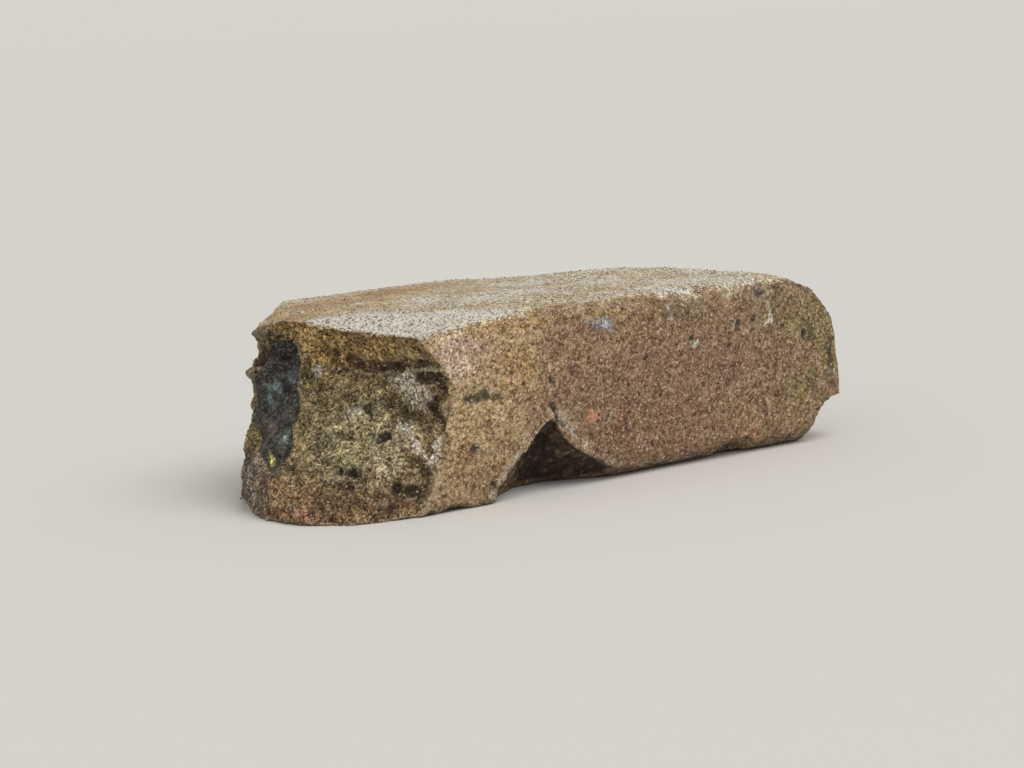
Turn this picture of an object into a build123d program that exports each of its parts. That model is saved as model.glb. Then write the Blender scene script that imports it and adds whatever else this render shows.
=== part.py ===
from build123d import *
import os

os.makedirs("parts", exist_ok=True)

# A worn solid clay brick, one piece of fired clay, in millimetres.
# X runs along its length, with the broken end at -X, and its bed lies on Z = 0.
# The long side that the photo shows, the near one, faces -Y.

# The pressed block, and how round its four long arrises are worn
length = 196.0
width = 96.0
height = 53.5
top_arris_radius = 5.0
far_bed_arris_radius = 5.0
near_bed_arris_radius = 7.5
unworn_arris_radius = 2.0
end_corner_radius = 6.0

# The whole end at +X: a blunt nose that leans outwards towards its foot
nose_height = 21.0
nose_toe_height = 9.0
nose_foot_setback = 14.0
nose_shoulder_height = 31.0
nose_top_setback = 28.0

# The broken end at -X, in slices across the brick. A slice's place is a share of the width from
# the near side, and at each height it says how far the fracture stands back from the foot's
# tip, as a share of the fracture's whole reach along the brick. The toe and the knee are
# measured up from the bed, the hollow, the ledge and the throat down from the top.
break_reach = 50.0
toe_height = 10.0
knee_height = 18.0
hollow_drop = 22.5
ledge_drop = 14.5
throat_drop = 7.5
fracture_slices = [
    dict(place=0.0, foot=0.66, toe=0.76, knee=0.8, hollow=0.83, ledge=0.83, throat=0.7, lip=0.6),
    dict(place=0.073, foot=0.24, toe=0.4, knee=0.54, hollow=0.86, ledge=0.79, throat=0.76, lip=0.58),
    dict(place=0.177, foot=0.07, toe=0.18, knee=0.38, hollow=0.65, ledge=0.73, throat=0.73, lip=0.53),
    dict(place=0.26, foot=0.025, toe=0.105, knee=0.26, hollow=0.57, ledge=0.74, throat=0.7, lip=0.49),
    dict(place=0.344, foot=0.0, toe=0.06, knee=0.19, hollow=0.48, ledge=0.63, throat=0.62, lip=0.45),
    dict(place=0.448, foot=0.05, toe=0.075, knee=0.15, hollow=0.35, ledge=0.46, throat=0.48, lip=0.4),
    dict(place=0.542, foot=0.13, toe=0.12, knee=0.2, hollow=0.36, ledge=0.41, throat=0.45, lip=0.345),
    dict(place=0.625, foot=0.21, toe=0.2, knee=0.24, hollow=0.31, ledge=0.3, throat=0.345, lip=0.32),
    dict(place=0.708, foot=0.31, toe=0.32, knee=0.36, hollow=0.41, ledge=0.43, throat=0.45, lip=0.46),
    dict(place=0.833, foot=0.52, toe=0.54, knee=0.61, hollow=0.67, ledge=0.68, throat=0.73, lip=0.74),
    dict(place=1.0, foot=0.76, toe=0.78, knee=0.81, hollow=0.9, ledge=0.93, throat=0.98, lip=1.0),
]

# A shallow scoop worn into the lip: its lowest line runs back from the lip and rises to the top
scoop_radius = 75.0
scoop_place = 11.0
scoop_depth = 5.8
scoop_slope = 11.0

# Three facets worn on top. The break's one falls towards the near corner beside the break, the
# lip's one towards the far end of the break, the far one to the far corner of the whole end.
break_facet_along = 58.0
break_facet_across = 64.0
break_facet_angle = 12.0
lip_facet_start = 11.0
lip_facet_stop = 48.0
lip_facet_angle = 20.0
far_facet_along = 105.0
far_facet_across = 76.0
far_facet_angle = 3.8

# The chip knocked out of the near lower arris. Its left foot runs out in a long shallow flare.
chip_left = -51.0
chip_apex = -19.5
chip_right = 13.0
chip_height = 21.5
chip_depth = 15.0

# Small bruises of the near lower arris
nick_place = 51.5
nick_radius = 10.0
nick_rise = 5.0
corner_bruise_radius = 13.0
corner_bruise_setback = 3.0

# How far a cutting tool stands out of the block
overrun = 12.0


# The long edge nearest to a point of the block's section
def long_edge(block, y, z):
    return block.edges().filter_by(Axis.X).sort_by_distance((block.center().X, y, z))[0]


# A stretch of the pressed block along X, its four long arrises worn round
def worn_stretch(start, end, near_bed_radius):
    side = width / 2
    block = Pos((start + end) / 2, 0, height / 2) * Box(end - start, width, height)
    top_edges = [long_edge(block, -side, height), long_edge(block, side, height)]
    block = fillet(top_edges, top_arris_radius)
    block = fillet(long_edge(block, side, 0), far_bed_arris_radius)
    return fillet(long_edge(block, -side, 0), near_bed_radius)


# The near lower arris is worn less between the break and the chip, and changes inside the chip.
def pressed_block():
    broken_half = worn_stretch(-length / 2, chip_apex, unworn_arris_radius)
    whole_half = worn_stretch(chip_apex, length / 2, near_bed_arris_radius)
    return broken_half + whole_half


# The brick's elevation: square at the broken end, nosed at the whole end
def nosed_elevation():
    end = length / 2
    foot = (end - nose_foot_setback, 0)
    nose = (end, nose_height)
    top = (end - nose_top_setback, height)
    with BuildSketch(Plane.XZ) as elevation:
        with BuildLine():
            Bezier(foot, (end - nose_foot_setback / 2, 0), (end, nose_toe_height), nose)
            Bezier(nose, (end, nose_shoulder_height), (end - nose_top_setback / 3, height), top)
            Polyline(top, (-end, height), (-end, 0), foot)
        make_face()
    return extrude(elevation.sketch, width, both=True)


# The brick's plan: rounded corners at the whole end
def plan_outline():
    plan = Rectangle(length, width)
    return extrude(fillet(plan.vertices().group_by(Axis.X)[-1], end_corner_radius), height)


# One slice of what broke away, so far from the near side: its inner side follows the fracture,
# and stands back by a clearance more
def fracture_slice(distance, foot, toe, knee, hollow, ledge, throat, lip, clearance=0):
    heights = (-overrun, 0, toe_height, knee_height, height - hollow_drop, height - ledge_drop,
               height - throat_drop, height, height + overrun)
    shares = (2 * foot - toe, foot, toe, knee, hollow, ledge, throat, lip, lip)
    tip = clearance - length / 2
    points = [(tip + share * break_reach, z) for share, z in zip(shares, heights)]
    outside = -length / 2 - overrun * 3
    with BuildSketch(Plane.XZ.offset(width / 2 - distance)) as outline:
        with BuildLine():
            Spline(*points)
            Polyline(points[-1], (outside, points[-1][1]), (outside, points[0][1]), points[0])
        make_face()
    return outline.sketch


# The loft of all slices. Its first and last stand clear of the block and a little further back.
def broken_away():
    places = [shares["place"] * width for shares in fracture_slices]
    profiles = [{name: shares[name] for name in shares if name != "place"} for shares in fracture_slices]
    near = fracture_slice(-overrun, clearance=overrun / 2, **profiles[0])
    far = fracture_slice(width + overrun, clearance=overrun / 2, **profiles[-1])
    inner = [fracture_slice(place, **profile) for place, profile in zip(places, profiles)]
    return loft([near] + inner + [far], ruled=True)


# A slab that lies on a facet of the top. The facet starts on a line between two points of the
# top's edges and falls to the right of the way from the first point to the second.
def facet_slab(first, second, angle):
    along = Vector(second[0] - first[0], second[1] - first[1], 0)
    hinge = Plane(origin=(first[0], first[1], height), x_dir=along, z_dir=(0, 0, 1))
    slab = Pos(0, 0, length / 2) * Box(length * 2, length * 2, length)
    return hinge * Rot(angle, 0, 0) * slab


def top_wear():
    end = length / 2
    side = width / 2
    break_start = (-end, break_facet_across - side)
    break_stop = (break_facet_along - end, -side)
    lip_start = (lip_facet_stop - end, side)
    lip_stop = (lip_facet_start - end, -width / 8)
    far_start = (end, side - far_facet_across)
    far_stop = (end - far_facet_along, side)
    return (facet_slab(break_start, break_stop, break_facet_angle),
            facet_slab(lip_start, lip_stop, lip_facet_angle),
            facet_slab(far_start, far_stop, far_facet_angle))


# The scoop is the side of a long round bar that lies along X and leans up from the lip.
def lip_scoop():
    lip_end = break_reach / 2 - length / 2
    bar = Rot(0, 90, 0) * Cylinder(scoop_radius, length)
    leaning = Rot(0, -scoop_slope, 0) * Pos(0, 0, scoop_radius) * bar
    return Pos(lip_end, scoop_place - width / 2, height - scoop_depth) * leaning


# The chip's arch at one depth, shrunk about the foot of its apex
def chip_arch(depth, share):
    left = (chip_left - chip_apex) * share
    right = (chip_right - chip_apex) * share
    top = chip_height * share
    below = -overrun / 4
    with BuildSketch(Plane.XZ.offset(width / 2 - depth)) as arch:
        with BuildLine():
            Spline((left, below), (left * 0.43, top * 0.4), (left * 0.2, top * 0.8), (0, top))
            Spline((0, top), (right * 0.22, top * 0.54), (right * 0.55, top * 0.26), (right, below))
            Line((right, below), (left, below))
        make_face()
    return Pos(chip_apex, 0, 0) * arch.sketch


def chip():
    steps = ((-2, 1.03), (0.2 * chip_depth, 0.94), (0.55 * chip_depth, 0.72), (chip_depth, 0.25))
    return loft([chip_arch(depth, share) for depth, share in steps])


def bruises():
    near = -width / 2
    nick = Pos(nick_place, near, nick_rise - nick_radius) * Sphere(nick_radius)
    corner = Pos(length / 2 - corner_bruise_setback, near, 0) * Sphere(corner_bruise_radius)
    return nick, corner


brick = pressed_block() & nosed_elevation() & plan_outline()
for tool in (broken_away(), chip(), *top_wear(), lip_scoop(), *bruises()):
    brick = brick - tool
brick = max(brick.solids(), key=lambda solid: solid.volume)
export_step(brick, "parts/clay_brick.step")
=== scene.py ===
import itertools
import math

import bmesh
import bpy
import numpy as np
from mathutils import Matrix, Vector


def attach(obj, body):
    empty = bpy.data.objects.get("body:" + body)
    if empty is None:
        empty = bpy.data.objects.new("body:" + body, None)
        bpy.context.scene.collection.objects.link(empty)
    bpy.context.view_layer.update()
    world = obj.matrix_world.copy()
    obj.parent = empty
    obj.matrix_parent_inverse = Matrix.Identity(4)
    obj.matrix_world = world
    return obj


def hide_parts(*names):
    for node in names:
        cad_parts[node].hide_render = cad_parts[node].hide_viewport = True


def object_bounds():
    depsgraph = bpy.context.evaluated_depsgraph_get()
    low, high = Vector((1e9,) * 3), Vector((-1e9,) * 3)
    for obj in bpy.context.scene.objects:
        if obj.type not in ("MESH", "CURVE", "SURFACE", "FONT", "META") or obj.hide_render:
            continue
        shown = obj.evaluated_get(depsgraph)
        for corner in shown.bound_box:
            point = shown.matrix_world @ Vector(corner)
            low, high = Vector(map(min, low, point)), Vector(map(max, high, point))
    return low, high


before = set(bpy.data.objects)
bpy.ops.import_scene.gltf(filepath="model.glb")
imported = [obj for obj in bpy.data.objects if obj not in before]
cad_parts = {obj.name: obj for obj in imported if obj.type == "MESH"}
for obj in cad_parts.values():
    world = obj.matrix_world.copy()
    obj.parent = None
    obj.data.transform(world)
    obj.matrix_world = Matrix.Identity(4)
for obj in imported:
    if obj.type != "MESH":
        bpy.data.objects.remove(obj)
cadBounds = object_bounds()
mm = 0.001
lowest, highest = (np.array(corner) for corner in cadBounds)
halfLength, halfWidth, halfHeight = np.round((highest - lowest) / mm, 3) / 2
print("frame loaded")


# Random patterns, worked out for all points at once. Each use has a seed of its own.
# One even random number, 0 to 1, for each whole-numbered cell: its three numbers times large
# primes, joined bit by bit with the seed, stirred twice, and the low bits kept.
def cellRandom(cells, seed):
    whole = cells.astype(np.int64).astype(np.uint64)
    low = np.uint64(0xFFFFFFFF)
    mixed = (whole[..., 0] * np.uint64(73856093)) ^ (whole[..., 1] * np.uint64(19349663))
    mixed = (mixed ^ (whole[..., 2] * np.uint64(83492791)) ^ np.uint64(seed * 7919 + 104729)) & low
    mixed = ((mixed ^ (mixed >> np.uint64(15))) * np.uint64(2246822519)) & low
    mixed = ((mixed ^ (mixed >> np.uint64(13))) * np.uint64(3266489917)) & low
    return ((mixed ^ (mixed >> np.uint64(16))) & np.uint64(0xFFFFFF)) / float(0xFFFFFF)


# Soft noise, -1 to 1: the random numbers at a cell's eight corners, blended by the smooth step
# 3t^2 - 2t^3 of the point's place in the cell along each axis.
def softNoise(points, size, seed):
    place = points / size
    cell = np.floor(place)
    step = place - cell
    step = step * step * (3 - 2 * step)
    total = np.zeros(len(points))
    for corner in itertools.product((0, 1), repeat=3):
        share = np.prod(np.where(np.array(corner) == 1, step, 1 - step), axis=1)
        total += share * cellRandom(cell + corner, seed)
    return total * 2 - 1


# Layered noise: soft noise plus the same at half the size and a share of the height, and so on.
def layeredNoise(points, size, layers, seed, share=0.5):
    heights = [share ** layer for layer in range(layers)]
    noise = sum(h * softNoise(points, size / 2 ** n, seed + n) for n, h in enumerate(heights))
    return noise / sum(heights)


# Points moved about by soft noise: each coordinate by its own, times the reach.
def strayed(points, size, reach, seed):
    return points + reach * np.stack([softNoise(points, size, seed + axis) for axis in range(3)], axis=1)


# Scattered spots: each cell holds one spot at a random place in it. Gives each point's distance
# to its nearest spot, and that spot's random number.
def nearestSpot(points, size, seed):
    place = points / size
    cell = np.floor(place)
    nearest = np.full(len(points), 9.0)
    number = np.zeros(len(points))
    for step in itertools.product((-1, 0, 1), repeat=3):
        other = cell + step
        jitter = np.stack([cellRandom(other, seed + n) for n in range(3)], axis=1)
        distance = np.linalg.norm(other + jitter - place, axis=1)
        closer = distance < nearest
        nearest = np.where(closer, distance, nearest)
        number = np.where(closer, cellRandom(other, seed + 3), number)
    return nearest * size, number


# Smooth rise from 0 at the first value to 1 at the second, which may be the lower one.
def rise(values, none, full):
    share = np.clip((values - none) / (full - none), 0, 1)
    return share * share * (3 - 2 * share)


# Round patch: exp(-d^2), with d the distance from its centre in radii, each axis with its own.
def patch(points, centre, radii):
    return np.exp(-(((points - np.array(centre)) / np.array(radii)) ** 2).sum(axis=1))


# Several round patches added up, each times its share.
def patches(points, several):
    return sum(share * patch(points, centre, radii) for share, centre, radii in several)


# Distance from each point to a crooked line: the least of its distances to the line's stretches.
def distanceToLine(points, line):
    nearest = np.full(len(points), 1e9)
    for start, end in zip(line, line[1:] or line):
        start, along = np.array(start, float), np.array(end, float) - np.array(start, float)
        share = np.clip((points - start) @ along / max(along @ along, 1e-9), 0, 1)
        nearest = np.minimum(nearest, np.linalg.norm(points - start - share[:, None] * along, axis=1))
    return nearest


# Nearness to a crooked line: 1 - d^2, with d the distance in radii, and nothing beyond 1.
def nearness(points, line, radius):
    return np.clip(1 - (distanceToLine(points, line) / radius) ** 2, 0, 1)


# Points turned by an angle in degrees about one axis. A pattern on points that are then divided
# by numbers over 1 is drawn out that much.
def turned(points, degrees, axis):
    return points @ np.array(Matrix.Rotation(math.radians(degrees), 3, axis))


brick = {
    "spacing": 1.36,                # between the points of its surface, half of that where it is seen most
    "smoothing": 1,                 # rounds of smoothing after the surface is divided
    "arrisRounds": 14,              # and of evening out that wear the near top arris round
    "arris": 5.0, "wornBedArris": 7.5, "crispBedArris": 2.0, "bedArrisChange": -19.5,
    # facets of the top: two points of the line each starts on, and its fall in degrees
    "facets": [((-98, 16), (-40, -48), 12), ((-50, 48), (-87, -12), 20), ((98, -28), (-7, 48), 3.8)],
    # the scoop in the lip: a point of its axis, the way of the axis, and its radius
    "scoop": ((-87.3, -37.0, 121.3), (0.9816, 0.0, 0.1908), 75.0),
    # the fracture ends here on the near half, and up to so much further right at the far side
    "breakEnds": -52.0, "breakSlant": 8.0,
    "chipCentre": (-17, -46, 4), "chipReach": (38, 26, 25),
    # how far in the wear of the long arrises reaches, from the side and from the top or bed, and
    # that of the whole end's edges, where it starts and is full, and from the top or bed
    "arrisWear": (7.0, 6.75), "endWear": (18.0, 2.0, 8.75),
    # a point is seen most if it faces up by so much, or lies so near the near side; not on the bed
    "facesUp": 0.35, "nearBand": 5.0, "facesDown": -0.75,
}

# Marks are what can be seen on a surface: a crooked line or a spot, its radius, how deep it lies
# (proud if less than 0), its colour and how much of that colour. Patches have a share, a centre
# and radii. Each kind of relief has a size and a height.
fracture = {
    "lumps": (13.0, 0.8), "folds": (7.0, 0.9), "flakes": (5.0, 1.3), "torn": (3.2, 0.9),
    "crumbs": (1.6, 0.45),
    "foldTilt": 35, "foldStretch": (1.0, 1.9, 0.85),    # their lean in degrees, and how far drawn out
    "marks": [
        # painted shade: the dark line under the brow's overhang
        ([(-66, -15, 41), (-61, -24, 39.6), (-60, -34, 40.9), (-58, -46, 41.4)],
         1.9, 1.5, "#3f301a", 0.45),
        # painted highlight: the pale line along the ledge's lit edge
        ([(-59.9, -35.7, 39.3), (-58.8, -40.4, 39.8), (-57.6, -46, 40.2)], 1.0, -0.9, "#b3a68d", 0.8),
        # painted shade in a dark recess
        ([(-58.6, -37.5, 37.4), (-56.6, -44, 36.6), (-55.8, -43, 33.8)], 2.3, 1.7, "#3a2c1c", 0.75),
        ([(-61.2, -32.5, 36.4), (-59.5, -35.5, 33.6), (-58.2, -37.6, 31.4)], 3.4, -1.0, "#c9bfaf", 0.86),
        ([(-61.5, -29.5, 36.5)], 3.0, -0.3, "#a49a86", 0.6),
        ([(-56.7, -40.2, 30.5), (-55.8, -41.5, 28.1), (-57.8, -47.2, 24.8), (-57.7, -47.7, 22.8)],
         2.1, 1.2, "#3f2f1e", 0.7),
        ([(-66.5, -29, 32.5), (-62, -34.5, 28), (-59.5, -41, 25.2)], 1.9, 0.8, "#57452b", 0.5),
        ([(-65.5, -35.5, 25.8), (-64.3, -38.0, 23.9), (-64.8, -42.3, 21.1), (-64.5, -44.8, 17.1)],
         1.4, -0.8, "#c6bdb0", 0.8),
        ([(-57.8, -48.0, 21.0), (-59.6, -47.1, 17.4), (-61.3, -46.8, 14.3)], 2.2, -0.7, "#ddd4c6", 0.86),
        ([(-64.4, -45.7, 12.9), (-60.5, -47.4, 12.5)], 1.5, 0.9, "#3b3024", 0.65),
        # painted shade in the undercut above the foot
        ([(-72, -43, 8.2), (-66.6, -45.9, 7.2), (-62.8, -47.6, 5.9), (-59, -48, 4.2)],
         2.1, 1.7, "#35291b", 0.7),
        ([(-70.0, -35.3, 22.6), (-70.3, -35.3, 21.0)], 2.3, 2.4, "#34312e", 0.9),
        ([(-83.6, -31.6, 14.3)], 1.9, 1.4, "#382c20", 0.75),
        ([(-81.3, -34.4, 13.7)], 1.9, 1.9, "#2c231b", 0.85),
        ([(-69.3, -26.3, 29.6)], 1.4, 1.2, "#382c20", 0.75),
        ([(-72.3, -24.0, 28.2)], 2.4, -0.5, "#b9b5a6", 0.7),
        ([(-72.9, -7.5, 38.9)], 2.0, -0.4, "#b0a8a3", 0.8),
        ([(-95.0, -27, 3.4), (-94.3, -30, 1.8)], 2.3, -0.3, "#c08a66", 0.6),
        ([(-96.2, -21, 2.4)], 1.8, -0.2, "#a97a52", 0.5),
        ([(-94.3, -10.1, 10.6)], 4.0, 0.0, "#6d4c38", 0.45),
        ([(-80.5, 10.8, 50.0), (-79.3, 9.2, 48.5), (-77.5, 7, 47)], 3.5, -0.9, "#4a3a22", 0.8),
        # painted shade in the deep hollow above the bump
        ([(-80.5, 12.5, 42.5)], 4.6, 4.2, "#2b2320", 0.8),
        ([(-82.6, 15.5, 37.0)], 3.0, -3.8, "#55422a", 0.9),
        ([(-84.5, 12.5, 33.0)], 3.0, 0.0, "#4c3b27", 0.8),
    ],
    "moss": [(1.0, (-72, -27, 26), (16, 10, 6.5)), (1.0, (-79, -32, 17.5), (12, 9, 5))],
    "paleClay": [(1.0, (-75, -41, 13.5), (9, 5.5, 4.5)), (0.6, (-66, -38, 24), (8, 6, 8))],
    # heights between which each of these fades in, and for the ash also the places across
    "brow": (39.5, 42), "columnFoot": (17, 22), "columnTop": (36, 41), "rust": (13, 7),
    "ash": (19, 13), "ashAcross": (-15, -6),
    # a patch of slag: height, near and far edge, and spots of colour in it: place, radius, colour
    "slagEdges": [
        (13.5, -14, -9), (15.2, -14, -6), (17.4, -14.6, 1), (21.6, -12, 9), (23.5, -10.8, 14),
        (31, -6.2, 16), (38.8, -2.4, 9.5), (45.8, -1.2, 8), (47.5, 1, 6),
    ],
    "slagSpots": [
        # the first spot, grey-blue, is a painted highlight on the glassy slag
        ((-80.5, 5.4, 31.0), 4.0, "#5d6c6e"), ((-83.3, 1.5, 25.7), 2.8, "#75595d"),
        ((-84.3, 5.6, 23.0), 3.2, "#44362a"), ((-78.0, 1.0, 37.5), 3.0, "#54545f"),
        # the last spot on the next line, near black, is painted shadow in the hollow under the lip
        ((-91.0, -7.3, 16.2), 2.2, "#8d8750"), ((-76.1, 4.0, 43.4), 6.0, "#151014"),
        ((-80.0, -3.0, 30.5), 2.6, "#20282a"), ((-86.5, -8.5, 20.5), 2.6, "#586455"),
    ],
    "slagSunk": 1.3, "slagLumps": (3.4, 0.7), "slagRipples": (1.7, 0.6),
}

sandedSkin = {
    "wave": (42.0, 0.42), "dents": (15.0, 0.30), "pressed": (5.5, 0.20), "sand": (1.7, 0.13),
    "pores": (6.5, 0.5, 1.2, 0.8),      # apart, smallest and largest radius, depth
    "arrisLoss": (7.0, 1.1),
    # of the near side and the top, and the last few of the far side and the bed
    "marks": [
        ([(52.4, -48, 41.0), (52.4, -48, 39.4)], 1.1, 0.6, "#4a403b", 0.65),
        ([(58.8, -48, 42.0)], 1.3, 0.9, "#33271b", 0.8), ([(80.2, -48, 33.8)], 1.7, 1.2, "#3a2c1f", 0.8),
        ([(82.7, -47, 30.6)], 1.3, -0.3, "#cf9c60", 0.8),
        ([(33.2, -48, 37.7)], 1.0, 0.6, "#33271c", 0.75),
        ([(34.9, -48, 36.5), (34.0, -48, 35.3)], 1.0, -0.3, "#c3c0b8", 0.75),
        ([(24.6, -48, 48.3), (26, -48, 45.2)], 0.7, -0.3, "#c2bbad", 0.7),
        ([(66.6, -48, 42.3), (66.2, -48, 40.6), (64.8, -48, 39)], 0.8, -0.3, "#e2d8c6", 0.8),
        ([(64.8, -48, 46), (66.3, -48, 43)], 0.7, -0.3, "#cfc3ac", 0.55),
        ([(-37.9, -48, 25.6), (-37.4, -48, 23.1)], 0.8, -0.2, "#cfc0a5", 0.6),
        ([(15.7, -48, 34.1)], 1.1, 0.7, "#33271b", 0.75), ([(8.1, -48, 27.9)], 1.0, 0.6, "#38291c", 0.7),
        ([(-0.5, -48, 27.3)], 0.8, 0.5, "#3f3022", 0.65), ([(-33, -48, 46)], 0.8, 0.5, "#38291c", 0.7),
        ([(-19.8, -48, 32)], 1.1, 0.6, "#443427", 0.65), ([(48.6, -48, 34.1)], 1.0, 0.4, "#4f3f32", 0.5),
        ([(-48.6, -48, 16.6)], 1.5, 0.9, "#43342a", 0.75),
        ([(-42.1, -48, 5.2)], 1.6, 1.0, "#43352d", 0.7), ([(16.2, -48, 9.3)], 1.1, 0.4, "#54412f", 0.5),
        ([(-20.6, -48, 25.6)], 0.8, 0.4, "#463729", 0.6), ([(71, -48, 37.5)], 1.1, 0.4, "#5c4238", 0.5),
        ([(38, -48, 24)], 1.3, 0.3, "#654738", 0.4), ([(13, -48, 21)], 1.4, 0.0, "#6b4436", 0.4),
        ([(49, -48, 31)], 5.5, 0.0, "#77503f", 0.3), ([(51, -48, 26)], 3.0, 0.0, "#6e463a", 0.3),
        ([(-50.3, -48, 31.4), (-46.5, -48, 30.9), (-43.3, -48, 31.5)], 1.6, 0.5, "#4b432f", 0.7),
        ([(-43.3, -48, 31.0), (-40, -48, 30.3), (-37, -48, 29.4)], 1.1, 0.2, "#54492f", 0.5),
        ([(-49.5, -48, 33.6), (-46, -48, 33.2)], 1.8, 0.0, "#6d6440", 0.45),
        ([(-20.2, -48, 24.6), (-18.9, -48, 21.8), (-16.6, -48, 18.6)], 0.8, 0.9, "#2e241b", 0.8),
        # painted shade on the bevel along the chip's left rim, which turns away from the light
        ([(-40.0, -48, 1.5), (-36.0, -48, 5.0), (-31.5, -48, 10.0)], 2.6, 1.0, "#66563a", 0.8),
        ([(-21.5, -48, 24.2), (-20.2, -48, 22.2)], 0.6, -0.2, "#cbc0ad", 0.6),
        ([(-17.8, -48, 23.6), (-15.6, -48, 21.4)], 0.6, -0.2, "#cbc0ad", 0.6),
        ([(-6.3, -48, 20.2)], 2.9, -0.1, "#b07358", 0.75),
        ([(6.1, -48, 19.4), (6.1, -48, 16.2)], 1.3, 0.0, "#88564a", 0.6),
        ([(58, -47, 6.5)], 3.5, 0.0, "#a97c56", 0.4), ([(-33, -48, 36.5)], 6.0, 0.0, "#ac8152", 0.3),
        ([(-5.2, -47.9, 48.2), (2.8, -48, 46.3)], 1.5, -0.3, "#8f909c", 0.85),
        ([(-1.8, -48, 47.3)], 0.9, -0.2, "#dcdde2", 0.8), ([(1.0, -48, 46.5)], 0.8, -0.2, "#cfd0d8", 0.8),
        ([(-7.5, -47.6, 48.9), (-4, -47.8, 48.4)], 1.0, -0.1, "#a19c95", 0.6),
        ([(14.2, -47.6, 49.4), (10.7, -47.4, 49.9)], 1.7, 0.0, "#a8a49b", 0.55),
        ([(61.5, -47.6, 49.3)], 2.2, 0.5, "#77727a", 0.6),
        ([(63.5, -47.4, 49.9), (65.5, -47.8, 48.2)], 1.0, -0.3, "#c9c2b8", 0.5),
        ([(26, -48, 47), (38, -48, 46.5)], 3.6, 0.0, "#7a7257", 0.4),
        ([(-20, -45.6, 51.8), (-6, -46.2, 51.0), (8, -46.8, 50.6), (18, -47.2, 49.8)],
         4.2, 0.0, "#957850", 0.8),
        ([(-46, -47.8, 49.6), (-36, -47.4, 50.8), (-24, -46.8, 51.4)], 3.2, 0.0, "#b08b58", 0.6),
        ([(30, 48, 31)], 3.0, 0.0, "#a06a54", 0.6), ([(-22, 48, 14)], 1.8, 0.5, "#3a2c22", 0.7),
        ([(60, 48, 22)], 2.0, 0.9, "#3a2c22", 0.7), ([(8, 20, 0)], 3.0, 1.2, "#4a3a2c", 0.6),
    ],
    "warm": [(1.0, (-35, -48, 38), (12, 9, 8)), (0.7, (-50, -48, 28), (5, 9, 14)),
             (0.35, (22, -48, 43), (34, 9, 7)), (0.25, (60, -48, 12), (22, 9, 9))],
    "lilac": [(1.0, (-51, -48, 44.5), (9, 12, 7))],
    "olive": [(1.0, (84, -46, 22), (15, 26, 26)), (0.6, (66, -46, 6), (12, 20, 6)),
              (0.9, (-44, -48, 3), (16, 10, 4)), (0.5, (72, -48, 44), (14, 10, 8))],
    "lowBrown": [(0.25, (-42, -48, 10), (18, 12, 13)), (0.4, (12, -48, 12), (24, 12, 9))],
    # the far part of the top beside the break, worn smooth and brown
    "wornStrip": [(1.0, (-78, 3, 50), (13, 9, 9)), (1.0, (-52, 21, 53), (26, 10, 9)),
                  (1.0, (-14, 31, 53), (22, 9, 9)), (0.3, (-58, 6, 52), (30, 15, 9))],
    # lines and radii: where the top is wettest and most white grains are painted as glints, and where it is
    # worn dry beside the near arris
    "wetGlintBand": ([(-72, -15, 51), (-59, -33, 51), (-42, -42, 52.5)], 20.0),
    "dryStrip": ([(-22, -43.5, 52.4), (-6, -44.5, 52.0), (8, -46, 51.4), (18, -47, 50.2)], 6.5),
}

chip = {
    "ridges": (4.0, 0.9), "crumbs": (1.6, 0.3), "flankTilt": -55,
    # the pale rim of fresh clay beside it: its line, radius and share
    "rims": [
        ([(-43.5, -48, 2.2), (-39, -48, 7), (-34, -48, 11), (-26.4, -48, 18), (-21, -48, 20.6)],
         1.3, 0.8),
        ([(-17, -48, 20.4), (-12.2, -48, 15.2), (-7.4, -48, 10.1), (1.1, -48, 5.1)], 1.7, 0.85),
        ([(1.1, -48, 5.1), (8, -48, 3.8), (23.5, -45, 1.5)], 1.6, 0.5),
    ],
}

clayColours = {
    # the sanded skin
    "body": "#8f7359", "bodyPink": "#8d7056", "ochre": "#b89d74", "warm": "#b3905d", "lilac": "#c6ae97",
    "olive": "#8f7c53", "dampOlive": "#5b5439", "lowBrown": "#86694b", "bedEdgeShade": "#675743",
    # the top, paler than the sides partly as painted light from above
    "top": "#bba478", "topPale": "#dccfb2", "topBrown": "#ad8a54", "wetBase": "#84745a",
    # the torn clay from the lip down, and the slag
    "tornBrown": "#725d3e", "tornPale": "#957f57", "brow": "#a18654", "column": "#7d6d46",
    "moss": "#a79c73", "lime": "#beae91", "rust": "#8a6d4d", "rustBrown": "#6e5438", "ash": "#7d7267",
    "slag": "#292b23",
    # the chip: dark brown as painted shade, its left flank paler, partly as painted light
    "chip": "#33251b", "litChipFlank": "#614c34", "chipRim": "#bdb09a",
    # pores, single grains, and painted glints: white on the wet top, grey in the slag
    "pore": "#33271b", "cream": "#d8ccb4", "redGrain": "#7f5240", "glintGrain": "#fbf8f1",
    "slagGlint": "#77736a",
}


# sRGB hex to linear: each byte over 255, then ((c + 0.055) / 1.055)^2.4, or c / 12.92 near black.
def linear(hexColour):
    parts = [int(hexColour[n:n + 2], 16) / 255 for n in (1, 3, 5)]
    return tuple(((c + 0.055) / 1.055) ** 2.4 if c > 0.04045 else c / 12.92 for c in parts) + (1.0,)


# The same colour at every point.
def plainColour(points, name):
    return np.tile(linear(clayColours[name])[:3], (len(points), 1))


# Paint over each point's colour: c + share * (paint - c).
def paint(colours, share, hexColour):
    return colours + np.clip(share, 0, 1)[:, None] * (np.array(linear(hexColour)[:3]) - colours)


# Marks painted on: each in its share near its line, with a soft edge.
def withMarks(colours, marks, ragged):
    for line, radius, _, hexColour, share in marks:
        colours = paint(colours, share * rise(nearness(ragged, line, radius * 1.15), 0, 0.6), hexColour)
    return colours


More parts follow.
